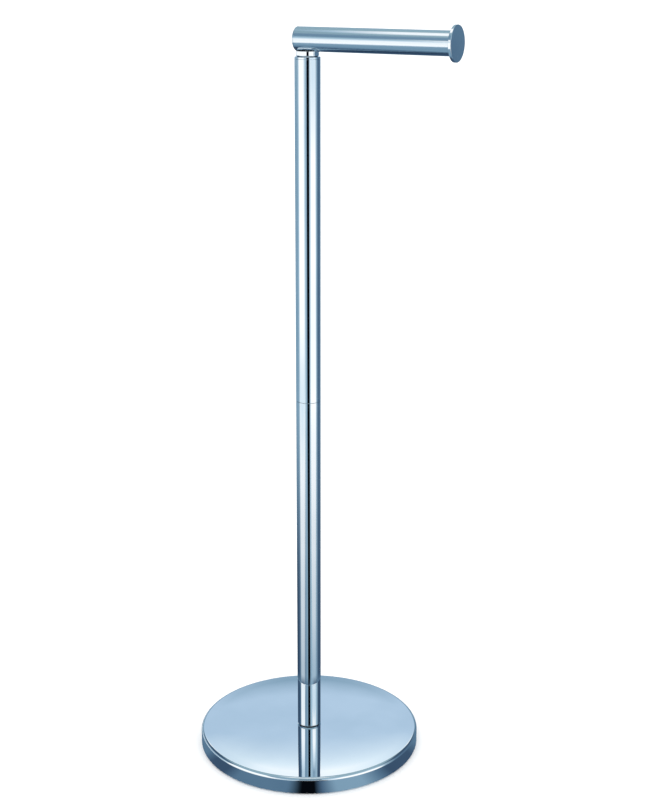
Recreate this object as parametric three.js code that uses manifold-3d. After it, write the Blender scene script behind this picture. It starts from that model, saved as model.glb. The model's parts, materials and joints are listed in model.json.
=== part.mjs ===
// A free-standing toilet paper holder: a weighted round base, a column of two screwed tubes, and
// an arm that swivels on the column and ends in a disc, so that the roll can't slide off.
// Millimetres, +Z up. The origin is the centre of the base on the floor. The arm points along +X.

import * as THREE from "three";
import { mergeVertices } from "three/addons/utils/BufferGeometryUtils.js";
import Module from "manifold-3d";

const wasm = await Module();
wasm.setup();

// ---------------------------------------------------------------- driving dimensions

const BASE_R = 102; // outside radius of the base
const BASE_TOP = 16.8; // top of the base at the column
const COLUMN_R = 11; // outside radius of the column tubes
const SEAM_Z = 336; // where the two column tubes meet
const COLUMN_TOP = 635.7; // top of the column's cap
const NECK_R = 9.8; // foot of the collar between the column and the arm
const ARM_R = 10.2; // outside radius of the arm tube
const ARM_Z = 650; // height of the arm's axis
const ARM_REAR = -9.6; // rear face of the arm, along X
const ARM_FRONT = 133; // front end of the arm tube, along X
const DISC_R = 14.9;
const DISC_THICKNESS = 2.8;
const TUBE_WALL = 1.2;

// Fits. Pieces that touch keep TOUCH between them, and so does a plug all round in its tube.
const TOUCH = 0.05;
const LOOSE = 0.3; // the cast weight in its pressed cover
const SEAM_GAP = 0.2; // the fine line between the two column tubes

// Threads are plain cylinders: the bolt a little under its size and the hole a little over it.
const M10 = { bolt: 4.92, hole: 5.1 };
const M8 = { bolt: 3.92, hole: 4.1 };
const M6 = { bolt: 2.92, hole: 3.1 };
const M5 = { bolt: 2.42, hole: 2.6 };
const STUD_CHAMFER = 0.6;
const INSERT_CHAMFER = 0.6;

// Sides of a full circle, by the size of the piece.
const FINE = 48;
const MEDIUM = 32;
const SMALL = 24;
const ARC_STEPS = 2; // three.js makes two facets per step on an arc

const OVERSHOOT = 1; // how far a cutting tool runs past the faces that it cuts through

// ---------------------------------------------------------------- materials

function finish(color, roughness, metalness) {
  return new THREE.MeshStandardMaterial({ color, roughness, metalness });
}

const polishedChrome = finish(0xdfe6ec, 0.04, 1);
const satinChrome = finish(0xbfc9d0, 0.22, 1);
const zincPlate = finish(0xb9bcbd, 0.35, 1);
const castIron = finish(0x3a3b3d, 0.75, 0.6);
const blackAcetal = finish(0x222326, 0.45, 0);
const blueNylon = finish(0x2f6fae, 0.45, 0);
const blackRubber = finish(0x1b1c1e, 0.8, 0);
const blackFoam = finish(0x2a2b2d, 0.95, 0);

// ---------------------------------------------------------------- outlines and shapes

// A path of radius and height that starts at one point and runs straight through the others.
function outline(start, ...corners) {
  const path = new THREE.Path().moveTo(...start);
  corners.forEach((corner) => path.lineTo(...corner));
  return path;
}

// A ring between two heights, whose outer edges may be cut off by a chamfer.
function ring(outer, inner, low, high, chamfer = 0) {
  if (chamfer === 0) return outline([inner, low], [outer, low], [outer, high], [inner, high]);
  return outline([inner, low], [outer - chamfer, low], [outer, low + chamfer], [outer, high - chamfer],
    [outer - chamfer, high], [inner, high]);
}

// A round rod with a chamfer at each end.
function rod(radius, low, high, chamfer) {
  return ring(radius, 0, low, high, chamfer);
}

// A closed outline, turned round +Z.
function turned(path, sides) {
  const points = path.getPoints(ARC_STEPS);
  return new THREE.LatheGeometry([...points, points[0]], sides).rotateX(Math.PI / 2);
}

// A prism along +Z, of any number of sides.
function prism(radius, low, high, sides) {
  const geometry = new THREE.CylinderGeometry(radius, radius, high - low, sides);
  return geometry.rotateX(Math.PI / 2).translate(0, 0, (low + high) / 2);
}

// A hexagonal prism along +Z, by its width across flats.
function hexagon(flats, low, high) {
  return prism(flats / Math.sqrt(3), low, high, 6);
}

// ---------------------------------------------------------------- cuts and joins

function toSolid(geometry) {
  const bare = new THREE.BufferGeometry();
  bare.setAttribute("position", geometry.getAttribute("position"));
  bare.setIndex(geometry.getIndex());
  const merged = mergeVertices(bare, 1e-4);
  return new wasm.Manifold(new wasm.Mesh({
    numProp: 3,
    vertProperties: new Float32Array(merged.attributes.position.array),
    triVerts: new Uint32Array(merged.index.array),
  }));
}

function toGeometry(solid) {
  const mesh = solid.getMesh();
  const geometry = new THREE.BufferGeometry();
  geometry.setAttribute("position", new THREE.BufferAttribute(mesh.vertProperties, 3));
  geometry.setIndex(new THREE.BufferAttribute(mesh.triVerts, 1));
  geometry.computeVertexNormals();
  return geometry;
}

// The first geometry with all the others cut out of it.
function cut(geometry, ...tools) {
  return toGeometry(tools.reduce((solid, tool) => solid.subtract(toSolid(tool)), toSolid(geometry)));
}

function common(a, b) {
  return toGeometry(toSolid(a).intersect(toSolid(b)));
}

function joined(a, b) {
  return toGeometry(toSolid(a).add(toSolid(b)));
}

// ---------------------------------------------------------------- pieces and assemblies

function piece(name, geometry, material) {
  const mesh = new THREE.Mesh(geometry, material);
  mesh.name = name;
  return mesh;
}

function turnedPiece(name, path, sides, material) {
  return piece(name, turned(path, sides), material);
}

function assembly(...pieces) {
  return new THREE.Group().add(...pieces);
}

// A threaded plug, pressed into the bore of a tube.
function insert(name, bore, thread, low, length) {
  const path = ring(bore - TOUCH, thread, low, low + length, INSERT_CHAMFER);
  return turnedPiece(name, path, MEDIUM, zincPlate);
}

function stud(name, thread, low, high) {
  return turnedPiece(name, rod(thread, low, high, STUD_CHAMFER), SMALL, zincPlate);
}

// ---------------------------------------------------------------- base

const SHELL_WALL = 1.2;
const SHELL_BOTTOM = 0.8; // the pad holds the shell this far off the floor
const SHELL_LIP_R = 97; // inner edge of the lip that is rolled under the weight
const LIP_BEND = 1.4; // radius of the bend at the foot of the wall
const SHOULDER = 3; // radius of the rounded rim
const CROWN_R = BASE_R - SHOULDER; // where the crowned top meets the rounded rim
const CROWN_DROP = 0.8; // how far the top falls from the column to the rim
const CROWN_POWER = 5; // nearly flat in the middle, and falling faster near the rim
const CROWN_STEPS = 4;
const WEIGHT_CHAMFER = 3; // along the upper edge of the cast weight
const PAD_R = 94;
const PAD_THICKNESS = 2.2;
const HEAD_FLATS = 17; // hexagon head of the base stud
const HEAD_HEIGHT = 6.4;
const HEAD_BOTTOM = 2.8;
const HEAD_TOP = HEAD_BOTTOM + HEAD_HEIGHT;
const HEAD_CHAMFER = 1.2;
const BASE_STUD_TOP = 42;

// Height of the base's crowned top at one radius.
function crown(radius) {
  return BASE_TOP - CROWN_DROP * (radius / CROWN_R) ** CROWN_POWER;
}

// Adds the crown between two radii to an outline, at some depth under the base's top.
function addCrown(path, from, to, depth) {
  for (let i = 0; i <= CROWN_STEPS; i++) {
    const radius = from + ((to - from) * i) / CROWN_STEPS;
    path.lineTo(radius, crown(radius) - depth);
  }
}

function antiSlipPad() {
  return turnedPiece("anti_slip_pad", ring(PAD_R, 0, 0, PAD_THICKNESS), FINE, blackFoam);
}

// The pressed cover: outside from its lip up to the stud hole, then back down the inside.
function baseShell() {
  const shoulderZ = crown(CROWN_R) - SHOULDER;
  const path = outline([SHELL_LIP_R, SHELL_BOTTOM], [BASE_R - LIP_BEND, SHELL_BOTTOM]);
  path.absarc(BASE_R - LIP_BEND, SHELL_BOTTOM + LIP_BEND, LIP_BEND, -Math.PI / 2, 0);
  path.absarc(CROWN_R, shoulderZ, SHOULDER, 0, Math.PI / 2);
  addCrown(path, CROWN_R, M10.hole, 0);
  addCrown(path, M10.hole, CROWN_R, SHELL_WALL);
  path.absarc(CROWN_R, shoulderZ, SHOULDER - SHELL_WALL, Math.PI / 2, 0, true);
  path.lineTo(BASE_R - SHELL_WALL, SHELL_BOTTOM + SHELL_WALL);
  path.lineTo(SHELL_LIP_R, SHELL_BOTTOM + SHELL_WALL);
  return turnedPiece("base_shell", path, FINE, polishedChrome);
}

// The cast weight fills the shell. A hexagonal pocket underneath keeps the stud from turning.
function baseWeight() {
  const low = PAD_THICKNESS + TOUCH;
  const depth = SHELL_WALL + LOOSE;
  const wallR = BASE_R - SHELL_WALL - LOOSE;
  const topR = wallR - WEIGHT_CHAMFER;
  const path = outline([M10.hole, low], [wallR, low], [wallR, crown(topR) - depth - WEIGHT_CHAMFER]);
  addCrown(path, topR, M10.hole, depth);
  const pocket = hexagon(HEAD_FLATS + LOOSE, low - OVERSHOOT, HEAD_TOP + TOUCH);
  return piece("base_weight", cut(turned(path, FINE), pocket), castIron);
}

// A bolt with its head in the weight's pocket. It stands up through the shell into the column.
function baseStud() {
  const corner = HEAD_FLATS / Math.sqrt(3);
  const rounding = outline([0, HEAD_BOTTOM], [corner - HEAD_CHAMFER, HEAD_BOTTOM],
    [corner, HEAD_BOTTOM + HEAD_CHAMFER / 2], [corner, HEAD_TOP], [0, HEAD_TOP]);
  const head = common(hexagon(HEAD_FLATS, HEAD_BOTTOM, HEAD_TOP), turned(rounding, SMALL));
  const shank = turned(rod(M10.bolt, HEAD_BOTTOM + OVERSHOOT, BASE_STUD_TOP, STUD_CHAMFER), SMALL);
  return piece("base_stud", joined(head, shank), zincPlate);
}

// ---------------------------------------------------------------- column

const FOOT_FLANGE = 1.2; // visible flange of the foot plug
const FOOT_CHAMFER = 0.9;
const WASHER_R = COLUMN_R - FOOT_CHAMFER;
const WASHER_THICKNESS = 0.5; // protective washer under the column
const WASHER_CHAMFER = 0.15;
const WASHER_TOP = BASE_TOP + TOUCH + WASHER_THICKNESS;
const FOOT_FLANGE_TOP = WASHER_TOP + TOUCH + FOOT_FLANGE;
const COLUMN_BORE = COLUMN_R - TUBE_WALL;
const COLUMN_PLUG_R = COLUMN_BORE - TOUCH;
const COLUMN_INSERT = 24; // length of each threaded plug
const INSERT_DEPTH = 0.6; // how far the middle inserts lie back from the seam
const COUPLING_REACH = 20; // the coupling stud, each way from the seam
const TUBE_CHAMFER = 0.2;
const CAP_FLANGE = 1.9; // visible flange of the column's cap
const CAP_BOTTOM = COLUMN_TOP - CAP_FLANGE;

function columnTube(name, low, high) {
  const path = ring(COLUMN_R, COLUMN_BORE, low, high, TUBE_CHAMFER);
  return turnedPiece(name, path, MEDIUM, polishedChrome);
}

function footWasher() {
  const path = ring(WASHER_R, M10.hole, BASE_TOP + TOUCH, WASHER_TOP, WASHER_CHAMFER);
  return turnedPiece("foot_washer", path, MEDIUM, blackRubber);
}

// A threaded plug in the foot of the lower tube, with a flange that carries the tube.
function footPlug() {
  const low = WASHER_TOP + TOUCH;
  const high = FOOT_FLANGE_TOP + COLUMN_INSERT;
  const path = outline([M10.hole, low], [COLUMN_R - FOOT_CHAMFER, low], [COLUMN_R, low + FOOT_CHAMFER],
    [COLUMN_R, FOOT_FLANGE_TOP], [COLUMN_PLUG_R, FOOT_FLANGE_TOP], [COLUMN_PLUG_R, high], [M10.hole, high]);
  return turnedPiece("foot_plug", path, MEDIUM, polishedChrome);
}

// ---------------------------------------------------------------- swivel

const CAP_PLUG = 20; // length of the cap's plug in the tube
const CAP_PLUG_BOTTOM = CAP_BOTTOM - CAP_PLUG;
const CAP_ROUNDING = 0.4;
const BUSH_R = 7;
const BUSH_FLANGE_R = 8.8;
const BUSH_FLANGE = 0.6;
const NECK_GAP = 0.25; // the fine line between the cap and the neck, which turns over it
const UPPER_SLEEVE = 11;
const LOWER_SLEEVE = 7;
const JOURNAL = { bolt: 5, hole: 5.1 }; // the spindle turns in the bushes here
const NECK_BOTTOM = COLUMN_TOP + NECK_GAP;
const BUSH_FACE = NECK_BOTTOM - TOUCH - BUSH_FLANGE; // under the upper bush's flange, sunk in the cap
const NECK_SEAT = 0.5; // how deep the arm tube lies in the neck's groove
const NECK_TOP = ARM_Z - ARM_R + NECK_SEAT;
const NECK_ROUNDING = 0.9; // lower edge of the neck
const NECK_TAPER = Math.tan((3 * Math.PI) / 180); // the neck narrows upward by 3 degrees
const GROOVE_GAP = 0.1; // between the arm tube and the neck's groove
const SPINDLE_TOP = ARM_Z + 6;
const SPINDLE_SHOULDER = NECK_TOP - 1; // the journal ends inside the neck
const JOURNAL_BOTTOM = CAP_PLUG_BOTTOM - BUSH_FLANGE - 2 * TOUCH;
const SPINDLE_BOTTOM = JOURNAL_BOTTOM - 16;
const SWIVEL_WASHER_R = 8;
const SWIVEL_WASHER = 1.2;
const WAVE_R = 7.5;
const WAVE_BORE = 4.3;
const WAVE_THICKNESS = 0.5;
const WAVE_SWING = 0.35; // rise and fall about the wave washer's middle
const WAVES = 3;
const NUT_FLATS = 13;
const NUT_HEIGHT = 8;
const NUT_CHAMFER = 0.8;
const COLLAR_HEIGHT = 2; // the round collar of the lock nut, which holds its nylon ring
const COLLAR_R = 6.2;
const COLLAR_BORE = 5.2;

// The plug that closes the column and carries both bushes. The upper bush's flange is sunk in its top.
function columnCap() {
  const bore = BUSH_R + TOUCH;
  const recess = BUSH_FLANGE_R + TOUCH;
  const path = outline([bore, CAP_PLUG_BOTTOM], [COLUMN_PLUG_R, CAP_PLUG_BOTTOM],
    [COLUMN_PLUG_R, CAP_BOTTOM], [COLUMN_R, CAP_BOTTOM]);
  path.absarc(COLUMN_R - CAP_ROUNDING, COLUMN_TOP - CAP_ROUNDING, CAP_ROUNDING, 0, Math.PI / 2);
  path.lineTo(recess, COLUMN_TOP);
  path.lineTo(recess, BUSH_FACE - TOUCH);
  path.lineTo(bore, BUSH_FACE - TOUCH);
  return turnedPiece("column_cap", path, MEDIUM, polishedChrome);
}

// Each bush has its flange against the cap's end and its sleeve inside the cap.
function upperBush() {
  const low = BUSH_FACE - UPPER_SLEEVE;
  const high = BUSH_FACE + BUSH_FLANGE;
  const path = outline([JOURNAL.hole, low], [BUSH_R, low], [BUSH_R, BUSH_FACE], [BUSH_FLANGE_R, BUSH_FACE],
    [BUSH_FLANGE_R, high], [JOURNAL.hole, high]);
  return turnedPiece("upper_bush", path, SMALL, blackAcetal);
}

function lowerBush() {
  const face = CAP_PLUG_BOTTOM - TOUCH;
  const path = outline([JOURNAL.hole, face - BUSH_FLANGE], [BUSH_FLANGE_R, face - BUSH_FLANGE],
    [BUSH_FLANGE_R, face], [BUSH_R, face], [BUSH_R, face + LOWER_SLEEVE],
    [JOURNAL.hole, face + LOWER_SLEEVE]);
  return turnedPiece("lower_bush", path, SMALL, blackAcetal);
}

// The tapered collar that the arm lies on. A shallow groove across its top takes the arm tube.
function neckCollar() {
  const topR = NECK_R - NECK_TAPER * (NECK_TOP - NECK_BOTTOM);
  const path = outline([JOURNAL.hole, NECK_BOTTOM], [NECK_R - NECK_ROUNDING, NECK_BOTTOM]);
  path.absarc(NECK_R - NECK_ROUNDING, NECK_BOTTOM + NECK_ROUNDING, NECK_ROUNDING, -Math.PI / 2, 0);
  path.lineTo(topR, NECK_TOP);
  path.lineTo(JOURNAL.hole, NECK_TOP);
  const groove = prism(ARM_R + GROOVE_GAP, -2 * NECK_R, 2 * NECK_R, FINE);
  groove.rotateY(Math.PI / 2).translate(0, 0, ARM_Z);
  return piece("neck_collar", cut(turned(path, MEDIUM), groove), polishedChrome);
}

// The shouldered spindle: a thread for the lock nut, the journal, and a thread for the arm.
function swivelSpindle() {
  const path = outline([0, SPINDLE_BOTTOM], [M8.bolt - STUD_CHAMFER, SPINDLE_BOTTOM],
    [M8.bolt, SPINDLE_BOTTOM + STUD_CHAMFER], [M8.bolt, JOURNAL_BOTTOM], [JOURNAL.bolt, JOURNAL_BOTTOM],
    [JOURNAL.bolt, SPINDLE_SHOULDER], [M8.bolt, SPINDLE_SHOULDER], [M8.bolt, SPINDLE_TOP - STUD_CHAMFER],
    [M8.bolt - STUD_CHAMFER, SPINDLE_TOP], [0, SPINDLE_TOP]);
  return turnedPiece("swivel_spindle", path, SMALL, zincPlate);
}

function flatWasher(name, high) {
  const path = ring(SWIVEL_WASHER_R, M8.hole, high - SWIVEL_WASHER, high);
  return turnedPiece(name, path, SMALL, zincPlate);
}

// A spring washer that rises and falls in waves round its ring.
function waveWasher(high) {
  const low = high - 2 * WAVE_SWING - WAVE_THICKNESS;
  const geometry = turned(ring(WAVE_R, WAVE_BORE, low, low + WAVE_THICKNESS), MEDIUM);
  const position = geometry.getAttribute("position");
  for (let i = 0; i < position.count; i++) {
    const angle = Math.atan2(position.getY(i), position.getX(i));
    const rise = WAVE_SWING * (1 + Math.cos(WAVES * angle));
    position.setZ(i, position.getZ(i) + rise);
  }
  return piece("wave_washer", geometry, zincPlate);
}

// The lock nut hangs under the washers, with its nylon ring in a round collar at its lower end.
function lockNut(high) {
  const low = high - NUT_HEIGHT;
  const collarTop = low + COLLAR_HEIGHT;
  const corner = NUT_FLATS / Math.sqrt(3);
  const rounding = outline([0, low], [COLLAR_R, low], [COLLAR_R, collarTop],
    [corner - NUT_CHAMFER, collarTop], [corner, collarTop + NUT_CHAMFER / 2],
    [corner, high - NUT_CHAMFER / 2], [corner - NUT_CHAMFER, high], [0, high]);
  const blank = common(hexagon(NUT_FLATS, low, high), turned(rounding, SMALL));
  const thread = prism(M8.hole, low - OVERSHOOT, high + OVERSHOOT, SMALL);
  const seat = prism(COLLAR_BORE, low - OVERSHOOT, collarTop, SMALL);
  return piece("lock_nut", cut(blank, thread, seat), zincPlate);
}

function lockNutRing(nutHigh) {
  const low = nutHigh - NUT_HEIGHT + TOUCH;
  const path = ring(COLLAR_BORE - TOUCH, M8.hole, low, low + COLLAR_HEIGHT - 2 * TOUCH);
  return turnedPiece("lock_nut_ring", path, SMALL, blueNylon);
}

// ---------------------------------------------------------------- arm
// The arm's pieces are made along their own +Z, and the whole arm is then turned to +X.

const ARM_BORE = ARM_R - TUBE_WALL;
const ARM_PLUG_R = ARM_BORE - TOUCH;
const END_CHAMFER = 0.15; // on the arm tube's ends
const REAR_CAP_FLANGE = 1.2; // the rear cap's visible rim
const REAR_CAP_ROUNDING = 0.8;
const REAR_CAP_END = -6.6; // inner end of the rear cap's plug
const BLOCK_REAR = -6.2; // the block in the arm tube that the spindle screws into
const BLOCK_FRONT = 16;
const SPINDLE_HOLE_TOP = SPINDLE_TOP - ARM_Z + 0.5;
const LOCK_SCREW_LENGTH = 8;
const LOCK_SCREW_SOCKET = 2.5; // width and depth of its hexagonal socket
const DISC_BOSS = 4.5; // the disc's boss in the tube
const DISC_ROUNDING = 0.5;
const FRONT_INSERT = 16;
const FRONT_INSERT_END = ARM_FRONT - DISC_BOSS - 0.4;
const DISC_STUD_REAR = FRONT_INSERT_END - 12;
const DISC_STUD_FRONT = ARM_FRONT + 1.4;

// A tool for a hole up from the arm's underside, which is +X until the arm is turned.
function undersideHole(radius, top) {
  return prism(radius, -top, ARM_R + OVERSHOOT, SMALL).rotateY(Math.PI / 2);
}

function armTube() {
  const path = ring(ARM_R, ARM_BORE, ARM_REAR + REAR_CAP_FLANGE + TOUCH, ARM_FRONT, END_CHAMFER);
  const tube = turned(path, MEDIUM);
  return piece("arm_tube", cut(tube, undersideHole(M8.hole, 0)), satinChrome);
}

function armMountBlock() {
  const body = turned(rod(ARM_PLUG_R, BLOCK_REAR, BLOCK_FRONT, INSERT_CHAMFER), MEDIUM);
  const screwHole = prism(M5.hole, 0, BLOCK_FRONT + OVERSHOOT, SMALL);
  const spindleHole = undersideHole(M8.hole, SPINDLE_HOLE_TOP);
  return piece("arm_mount_block", cut(body, spindleHole, screwHole), zincPlate);
}

// A set screw that clamps the spindle. Its socket faces the open tube.
function spindleLockScrew() {
  const low = M8.bolt + TOUCH;
  const high = low + LOCK_SCREW_LENGTH;
  const body = turned(rod(M5.bolt, low, high, STUD_CHAMFER), SMALL);
  const socket = hexagon(LOCK_SCREW_SOCKET, high - LOCK_SCREW_SOCKET, high + OVERSHOOT);
  return piece("spindle_lock_screw", cut(body, socket), zincPlate);
}

function armRearCap() {
  const step = ARM_REAR + REAR_CAP_FLANGE;
  const path = outline([0, ARM_REAR], [ARM_R - REAR_CAP_ROUNDING, ARM_REAR]);
  path.absarc(ARM_R - REAR_CAP_ROUNDING, ARM_REAR + REAR_CAP_ROUNDING, REAR_CAP_ROUNDING, -Math.PI / 2, 0);
  path.lineTo(ARM_R, step);
  path.lineTo(ARM_PLUG_R, step);
  path.lineTo(ARM_PLUG_R, REAR_CAP_END);
  path.lineTo(0, REAR_CAP_END);
  return turnedPiece("arm_rear_cap", path, MEDIUM, satinChrome);
}

// The end disc, with a boss that centres it in the tube and a blind hole for its stud.
function endDisc() {
  const bossEnd = ARM_FRONT - DISC_BOSS;
  const back = ARM_FRONT + TOUCH;
  const face = back + DISC_THICKNESS;
  const hole = DISC_STUD_FRONT + TOUCH;
  const path = outline([M6.hole, bossEnd], [ARM_PLUG_R, bossEnd], [ARM_PLUG_R, back],
    [DISC_R - DISC_ROUNDING, back]);
  path.absarc(DISC_R - DISC_ROUNDING, back + DISC_ROUNDING, DISC_ROUNDING, -Math.PI / 2, 0);
  path.absarc(DISC_R - DISC_ROUNDING, face - DISC_ROUNDING, DISC_ROUNDING, 0, Math.PI / 2);
  path.lineTo(0, face);
  path.lineTo(0, hole);
  path.lineTo(M6.hole, hole);
  return turnedPiece("end_disc", path, MEDIUM, polishedChrome);
}

// ---------------------------------------------------------------- the whole holder

const thrustWasherTop = JOURNAL_BOTTOM - TOUCH;
const waveWasherTop = thrustWasherTop - SWIVEL_WASHER - TOUCH;
const clampWasherTop = waveWasherTop - 2 * WAVE_SWING - WAVE_THICKNESS - TOUCH;
const lockNutTop = clampWasherTop - SWIVEL_WASHER - TOUCH;

const base = assembly(antiSlipPad(), baseShell(), baseWeight(), baseStud());

const column = assembly(
  footWasher(),
  footPlug(),
  columnTube("lower_tube", FOOT_FLANGE_TOP + TOUCH, SEAM_Z - SEAM_GAP / 2),
  insert("lower_tube_insert", COLUMN_BORE, M10.hole, SEAM_Z - INSERT_DEPTH - COLUMN_INSERT, COLUMN_INSERT),
  stud("coupling_stud", M10.bolt, SEAM_Z - COUPLING_REACH, SEAM_Z + COUPLING_REACH),
  insert("upper_tube_insert", COLUMN_BORE, M10.hole, SEAM_Z + INSERT_DEPTH, COLUMN_INSERT),
  columnTube("upper_tube", SEAM_Z + SEAM_GAP / 2, CAP_BOTTOM - TOUCH),
  columnCap(),
  upperBush(),
  lowerBush(),
);

const swivel = assembly(
  swivelSpindle(),
  flatWasher("thrust_washer", thrustWasherTop),
  waveWasher(waveWasherTop),
  flatWasher("clamp_washer", clampWasherTop),
  lockNut(lockNutTop),
  lockNutRing(lockNutTop),
  neckCollar(),
);

const arm = assembly(
  armTube(),
  armMountBlock(),
  spindleLockScrew(),
  armRearCap(),
  insert("arm_front_insert", ARM_BORE, M6.hole, FRONT_INSERT_END - FRONT_INSERT, FRONT_INSERT),
  stud("end_disc_stud", M6.bolt, DISC_STUD_REAR, DISC_STUD_FRONT),
  endDisc(),
);
arm.position.z = ARM_Z;
arm.rotation.y = Math.PI / 2;

export default assembly(base, column, swivel, arm);
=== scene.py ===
"""The looks of a free-standing toilet paper holder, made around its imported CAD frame.

Metres, +Z up. The column stands on the origin, and the arm points along +X.
Every visible piece is turned on a lathe from an outline, with exact surface normals.
"""

import json
import math

import bpy
from mathutils import Matrix, Vector

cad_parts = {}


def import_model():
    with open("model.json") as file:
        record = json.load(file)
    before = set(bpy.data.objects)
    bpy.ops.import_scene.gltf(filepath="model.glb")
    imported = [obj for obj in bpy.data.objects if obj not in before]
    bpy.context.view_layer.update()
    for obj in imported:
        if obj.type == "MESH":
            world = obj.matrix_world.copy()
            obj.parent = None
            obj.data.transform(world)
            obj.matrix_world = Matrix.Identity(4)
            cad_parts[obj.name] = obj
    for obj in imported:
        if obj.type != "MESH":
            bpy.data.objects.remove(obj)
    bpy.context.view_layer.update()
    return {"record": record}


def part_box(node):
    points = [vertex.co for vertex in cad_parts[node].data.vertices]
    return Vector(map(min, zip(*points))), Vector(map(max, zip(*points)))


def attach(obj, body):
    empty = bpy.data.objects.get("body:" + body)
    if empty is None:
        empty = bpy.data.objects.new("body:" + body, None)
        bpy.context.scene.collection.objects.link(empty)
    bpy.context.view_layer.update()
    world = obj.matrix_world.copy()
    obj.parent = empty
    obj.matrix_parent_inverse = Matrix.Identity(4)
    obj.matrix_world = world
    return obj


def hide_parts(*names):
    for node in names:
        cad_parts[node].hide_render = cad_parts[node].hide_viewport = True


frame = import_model()

MM = 0.001


# ---------------------------------------------------------------- outlines

ARC_STEP = math.radians(11.25)  # turn of each step of a rounded corner
SMOOTH_TURN = math.radians(6)  # a corner that turns less than this is part of a smooth curve


def direction(start, end):
    """The unit vector from one point of radius and height to another."""
    return (Vector(end[:2]) - Vector(start[:2])).normalized()


def outward(along):
    """The normal of an outline that runs anticlockwise round its material."""
    return Vector((along.y, -along.x))


def corner_stations(before, corner, after):
    """The stations of one corner: (point, normal of the edge before it, normal of the edge after it)."""
    into, out = direction(before, corner), direction(corner, after)
    first, last = outward(into), outward(out)
    turn = math.atan2(into.cross(out), into.dot(out))
    point, fillet = Vector(corner[:2]), corner[2] if len(corner) > 2 else 0
    if fillet == 0:
        if abs(turn) < SMOOTH_TURN:
            first = last = (first + last).normalized()
        return [(point, first, last)]
    side = math.copysign(fillet, turn)
    start = point - into * abs(fillet * math.tan(turn / 2))
    centre = start - first * side
    steps = max(2, math.ceil(abs(turn) / ARC_STEP))
    stations = []
    for i in range(steps + 1):
        normal = first.copy()
        normal.rotate(Matrix.Rotation(turn * i / steps, 2))
        stations.append((centre + normal * side, normal, normal))
    return stations


def outline_stations(corners, longest):
    """The stations of a whole outline. It is closed, unless it starts and ends on the axis."""
    closed = corners[0][0] > 0 or corners[-1][0] > 0
    stations = []
    if not closed:
        normal = outward(direction(corners[0], corners[1]))
        stations.append((Vector(corners[0][:2]), normal, normal))
    for i in range(0 if closed else 1, len(corners) if closed else len(corners) - 1):
        stations += corner_stations(corners[i - 1], corners[i], corners[(i + 1) % len(corners)])
    if closed:
        stations.append(stations[0])
    else:
        normal = outward(direction(corners[-2], corners[-1]))
        stations.append((Vector(corners[-1][:2]), normal, normal))
    return split_long_edges(stations, longest)


def split_long_edges(stations, longest):
    """Adds stations along straight edges, so that no face is much longer than it is wide."""
    result = [stations[0]]
    for start, end in zip(stations, stations[1:]):
        pieces = math.ceil((end[0] - start[0]).length / longest)
        for i in range(1, pieces):
            share = i / pieces
            normal = start[2].lerp(end[1], share).normalized()
            result.append((start[0].lerp(end[0], share), normal, normal))
        result.append(end)
    return result


# ---------------------------------------------------------------- turned meshes

UPRIGHT = Matrix.Identity(4)


def lathe(name, corners, sides, placement=UPRIGHT, longest=25 * MM):
    """A closed mesh: an outline of (radius, height, fillet) corners turned round the placement's Z."""
    stations = outline_stations(corners, longest)
    closed = corners[0][0] > 0 or corners[-1][0] > 0
    rings, vertices = [], []
    for point, _, _ in stations[:-1] if closed else stations:
        count = sides if point.x > 0 else 1
        rings.append([len(vertices) + i for i in range(count)])
        for i in range(count):
            angle = 2 * math.pi * i / sides
            vertices.append(Vector((point.x * math.cos(angle), point.x * math.sin(angle), point.y)))
    if closed:
        rings.append(rings[0])
    faces, normals = [], []
    for k in range(len(stations) - 1):
        for i in range(sides):
            face, bends = lathe_face(rings[k], rings[k + 1], i, sides, stations[k][2], stations[k + 1][1])
            faces.append(face)
            normals += bends
    return smooth_mesh(name, vertices, faces, normals, placement)


def lathe_face(low, high, i, sides, low_normal, high_normal):
    """One face between two rings, with a normal for each of its corners."""
    corners = [(low, i, low_normal)]
    if len(low) > 1:
        corners.append((low, i + 1, low_normal))
    if len(high) > 1:
        corners.append((high, i + 1, high_normal))
    corners.append((high, i, high_normal))
    face, normals = [], []
    for ring, step, normal in corners:
        angle = 2 * math.pi * (step if len(ring) > 1 else i + 0.5) / sides
        face.append(ring[step % len(ring)])
        normals.append(Vector((normal.x * math.cos(angle), normal.x * math.sin(angle), normal.y)))
    return face, normals


def smooth_mesh(name, vertices, faces, normals, placement):
    """A piece in the scene, with a normal of its own for each corner of its faces."""
    mesh = bpy.data.meshes.new(name)
    mesh.from_pydata([placement @ v for v in vertices], [], faces)
    mesh.polygons.foreach_set("use_smooth", [True] * len(faces))
    turn = placement.to_3x3()
    mesh.normals_split_custom_set([turn @ n for n in normals])
    mesh.validate()
    piece = bpy.data.objects.new(name, mesh)
    bpy.context.scene.collection.objects.link(piece)
    return piece


# ---------------------------------------------------------------- lofted meshes
# A loft is a list of rings of (radius, height). Either may be a function of the angle round the axis.

SIXTH = math.radians(60)
HEAD_SLOPE = math.tan(math.radians(30))  # chamfer of a hexagon's corners
HEAD_FACE = 0.95  # width of the round face of a hexagon head, by its width across flats
SHARP = math.radians(30)
THREAD_PITCH = {10: 1.5 * MM, 8: 1.25 * MM, 6: 1.0 * MM, 5: 0.8 * MM}
THREAD_DEPTH = 0.6  # of its pitch
THREAD_ROWS = 8  # rings in one pitch
BOLT_PLAY = 0.08 * MM  # a bolt's thread is under its size by this radius
HOLE_PLAY = 0.1 * MM  # and a hole's over its size


def value_at(value, angle):
    """A number, or what a function gives at an angle."""
    return value(angle) if callable(value) else value


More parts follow.
